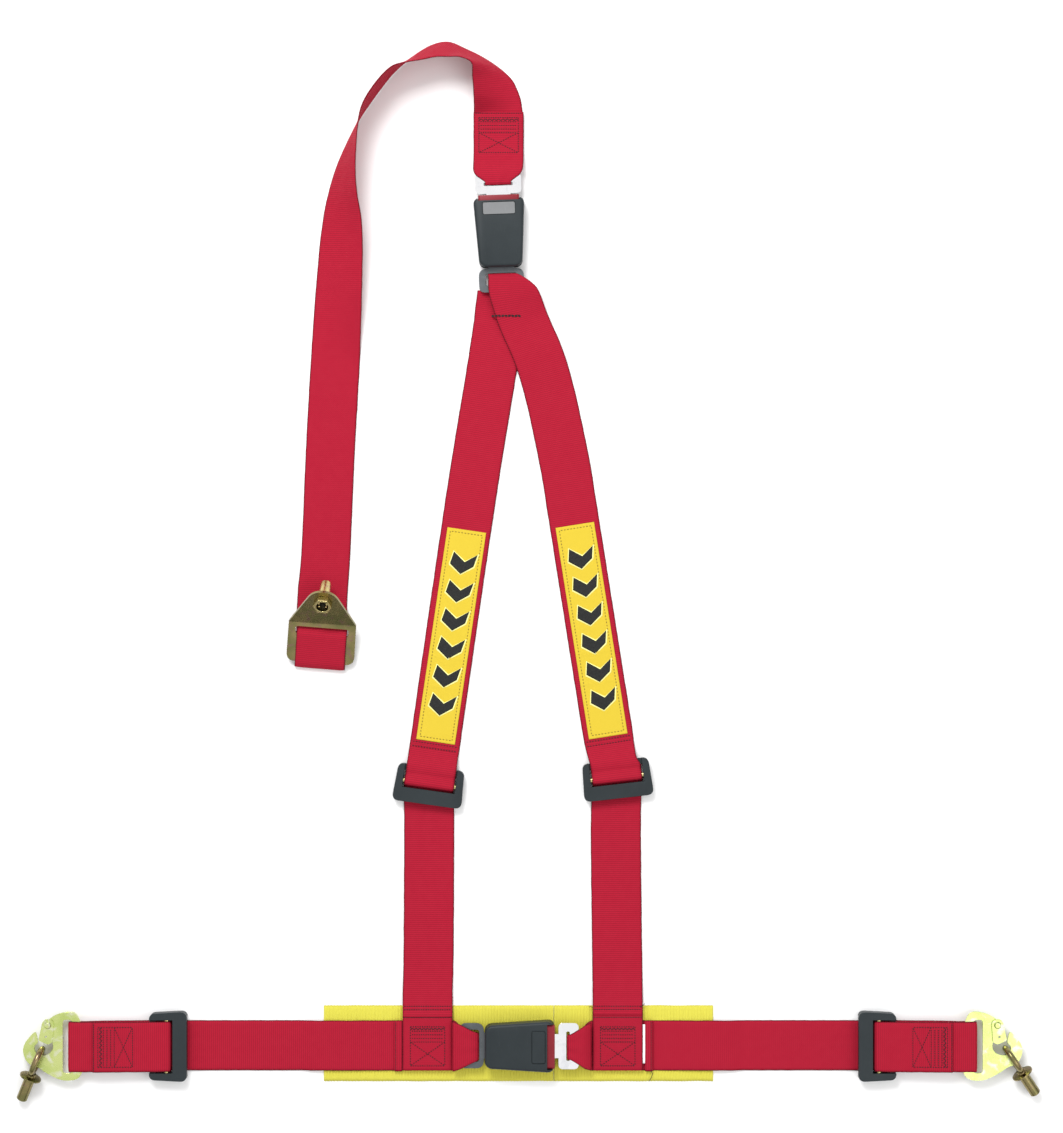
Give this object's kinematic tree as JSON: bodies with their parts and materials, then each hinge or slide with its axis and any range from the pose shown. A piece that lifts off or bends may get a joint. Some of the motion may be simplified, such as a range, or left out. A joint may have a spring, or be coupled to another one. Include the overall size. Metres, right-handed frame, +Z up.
{
  "type": "racing harness",
  "caption": "Racing harness laid flat: lap belt with buckle, pads, adjusters, snap hooks and eye bolts, shoulder yoke and a buckled tether ending in an anchor plate.",
  "frame": {"origin": "centre of the bounding box in plan, on the surface that the harness lies on", "axes": "+Y from the lap belt towards the head tether, +X along the lap belt towards the buckle's tongue side, +Z up"},
  "size_m": [1.0204, 1.0588, 0.0511],
  "materials": {
    "webbing": "crimson woven polyester webbing, ribbed across, dark selvedges, dark red stitching",
    "pad_webbing": "pale yellow 75 mm ribbed webbing",
    "patch_cloth": "yellow sewn patch with a printed black motif",
    "black_plastic": "moulded blue-black plastic, fine grain",
    "button": "dark red moulded plastic",
    "insert": "smooth grey insert",
    "chrome": "bright plated steel",
    "dark_steel": "dark grey coated steel",
    "yellow_zinc": "yellow-passivated zinc plate",
    "bronze_zinc": "dark yellow-passivated zinc with bronze staining"
  },
  "bodies": {
    "harness": {"top_cover_front": "black_plastic", "top_cover_rear": "black_plastic", "top_loop_frame": "dark_steel", "top_insert": "insert", "top_latch_spring": "dark_steel", "lap_cover_front": "black_plastic", "lap_cover_rear": "black_plastic", "lap_loop_frame": "dark_steel", "lap_insert": "black_plastic", "lap_latch_spring": "dark_steel", "left_shoulder_strap": "webbing", "right_shoulder_strap": "webbing", "left_shoulder_adjuster_frame": "black_plastic", "right_shoulder_adjuster_frame": "black_plastic", "left_strap_end": "webbing", "left_patch": "patch_cloth", "right_patch": "patch_cloth", "left_pad": "pad_webbing", "left_lap_belt": "webbing", "left_lap_adjuster_frame": "black_plastic", "left_hook_plate": "yellow_zinc", "left_rivet": "dark_steel"},
    "tether": {"top_tongue": "chrome", "tether_webbing": "webbing", "anchor_plate": "bronze_zinc"},
    "anchor_bolt": {"anchor_bolt": "yellow_zinc"},
    "top_button": {"top_button": "button"},
    "top_latch": {"top_latch": "dark_steel"},
    "top_ejector": {"top_ejector": "black_plastic"},
    "right_half": {"lap_tongue": "chrome", "right_lap_belt": "webbing", "right_strap_end": "webbing", "right_pad": "pad_webbing", "right_lap_adjuster_frame": "black_plastic", "right_hook_plate": "yellow_zinc", "right_rivet": "dark_steel"},
    "lap_button": {"lap_button": "button"},
    "lap_latch": {"lap_latch": "dark_steel"},
    "lap_ejector": {"lap_ejector": "black_plastic"},
    "left_keeper": {"left_keeper": "yellow_zinc"},
    "right_keeper": {"right_keeper": "yellow_zinc"},
    "left_eye_bolt": {"left_eye_bolt": "bronze_zinc"},
    "right_eye_bolt": {"right_eye_bolt": "bronze_zinc"},
    "left_shoulder_bar": {"left_shoulder_adjuster_bar": "yellow_zinc"},
    "right_shoulder_bar": {"right_shoulder_adjuster_bar": "yellow_zinc"},
    "left_lap_bar": {"left_lap_adjuster_bar": "yellow_zinc"},
    "right_lap_bar": {"right_lap_adjuster_bar": "yellow_zinc"}
  },
  "joints": [
    {"name": "top_tongue_release", "type": "slide", "parent": "harness", "child": "tether", "axis": [-0.0349, 0.9994, 0], "range_m": [0, 0.04]},
    {"name": "anchor_bolt_turn", "type": "hinge", "parent": "tether", "child": "anchor_bolt", "pos_m": [-0.20286, -0.0295, 0.03296], "axis": [-0.0516, -0.6407, 0.766], "continuous": true},
    {"name": "top_button_press", "type": "slide", "parent": "harness", "child": "top_button", "axis": [0.0349, -0.9994, 0], "range_m": [0, 0.004], "stiffness_N_per_m": 600},
    {"name": "top_latch_lift", "type": "slide", "parent": "harness", "child": "top_latch", "axis": [0, 0, 1], "range_m": [0, 0.0026]},
    {"name": "top_ejector_slide", "type": "slide", "parent": "harness", "child": "top_ejector", "axis": [-0.0349, 0.9994, 0], "range_m": [0, 0.006]},
    {"name": "lap_tongue_release", "type": "slide", "parent": "harness", "child": "right_half", "axis": [1, 0, 0], "range_m": [0, 0.04]},
    {"name": "lap_button_press", "type": "slide", "parent": "harness", "child": "lap_button", "axis": [-1, 0, 0], "range_m": [0, 0.004], "stiffness_N_per_m": 600},
    {"name": "lap_latch_lift", "type": "slide", "parent": "harness", "child": "lap_latch", "axis": [0, 0, 1], "range_m": [0, 0.0026]},
    {"name": "lap_ejector_slide", "type": "slide", "parent": "harness", "child": "lap_ejector", "axis": [1, 0, 0], "range_m": [0, 0.006]},
    {"name": "left_keeper_swing", "type": "hinge", "parent": "harness", "child": "left_keeper", "pos_m": [-0.47853, -0.45259, 0.013], "axis": [0, 0, 1], "range_deg": [0, 28], "stiffness_Nm_per_rad": 0.03},
    {"name": "right_keeper_swing", "type": "hinge", "parent": "right_half", "child": "right_keeper", "pos_m": [0.46736, -0.45259, 0.013], "axis": [0, 0, -1], "range_deg": [0, 28], "stiffness_Nm_per_rad": 0.03},
    {"name": "left_eye_bolt_swing", "type": "hinge", "parent": "harness", "child": "left_eye_bolt", "pos_m": [-0.48884, -0.48789, 0.0167], "axis": [-0.9205, 0.3907, 0], "range_deg": [0, 60]},
    {"name": "right_eye_bolt_swing", "type": "hinge", "parent": "right_half", "child": "right_eye_bolt", "pos_m": [0.48207, -0.48599, 0.0167], "axis": [-0.8261, -0.5635, 0], "range_deg": [0, 60]},
    {"name": "left_shoulder_bar_slide", "type": "slide", "parent": "harness", "child": "left_shoulder_bar", "axis": [0.1392, 0.9903, 0], "range_m": [0, 0.0015]},
    {"name": "right_shoulder_bar_slide", "type": "slide", "parent": "harness", "child": "right_shoulder_bar", "axis": [-0.1132, 0.9936, 0], "range_m": [0, 0.0015]},
    {"name": "left_lap_bar_slide", "type": "slide", "parent": "harness", "child": "left_lap_bar", "axis": [-1, 0, 0], "range_m": [0, 0.0015]},
    {"name": "right_lap_bar_slide", "type": "slide", "parent": "right_half", "child": "right_lap_bar", "axis": [1, 0, 0], "range_m": [0, 0.0015]}
  ],
  "couplings": [
    {"joint": "top_latch_lift", "follows": "top_button_press", "ratio": 0.65},
    {"joint": "top_ejector_slide", "follows": "top_tongue_release", "ratio": 0.15},
    {"joint": "lap_latch_lift", "follows": "lap_button_press", "ratio": 0.65},
    {"joint": "lap_ejector_slide", "follows": "lap_tongue_release", "ratio": 0.15}
  ]
}
